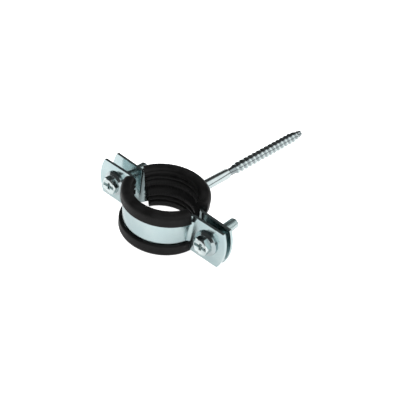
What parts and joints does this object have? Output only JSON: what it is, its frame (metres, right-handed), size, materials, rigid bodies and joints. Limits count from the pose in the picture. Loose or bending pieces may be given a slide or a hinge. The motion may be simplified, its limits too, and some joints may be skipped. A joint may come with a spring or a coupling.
{
  "type": "rubber lined pipe clamp",
  "caption": "Split steel pipe clamp with a ribbed rubber lining, closed by hex-head screws through its ears and held off the wall by a hanger screw.",
  "frame": {"origin": "on the axis of the pipe bore, half way along the clamp's width", "axes": "+Z along the pipe, +Y along the hanger screw towards the wall, +X along the ears"},
  "size_m": [0.0813, 0.1368, 0.025],
  "materials": {
    "steel": "bright zinc plating",
    "nut_steel": "bright zinc plating",
    "screw_steel": "bright zinc plating",
    "washer_steel": "bright zinc plating",
    "rubber": "matt black EPDM"
  },
  "bodies": {
    "hanger": {"hanger_screw": "screw_steel"},
    "back half": {"back_band": "steel", "back_lining": "rubber", "boss_nut": "nut_steel"},
    "front half": {"front_band": "steel", "front_lining": "rubber", "left_washer": "washer_steel", "right_washer": "washer_steel"},
    "left screw": {"left_closing_screw": "screw_steel"},
    "right screw": {"right_closing_screw": "screw_steel"}
  },
  "joints": [
    {"name": "clamp_turn_on_hanger_screw", "type": "hinge", "parent": "hanger", "child": "back half", "pos_m": [0, 0.024, 0], "axis": [0, 1, 0], "range_deg": [-180, 180]},
    {"name": "front_half_travel", "type": "slide", "parent": "back half", "child": "front half", "axis": [0.0471, -0.9989, 0], "range_m": [-0.0004, 0.012]},
    {"name": "left_screw_turn", "type": "hinge", "parent": "front half", "child": "left screw", "pos_m": [-0.02997, -0.00141, 0], "axis": [0.0471, -0.9989, 0], "range_deg": [-230, 5460]},
    {"name": "right_screw_turn", "type": "hinge", "parent": "front half", "child": "right screw", "pos_m": [0.02997, 0.00141, 0], "axis": [0.0471, -0.9989, 0], "range_deg": [-230, 5460]}
  ],
  "couplings": [
    {"joint": "left_screw_turn", "follows": "front_half_travel", "rad_per_m": 7854},
    {"joint": "right_screw_turn", "follows": "front_half_travel", "rad_per_m": 7854}
  ]
}
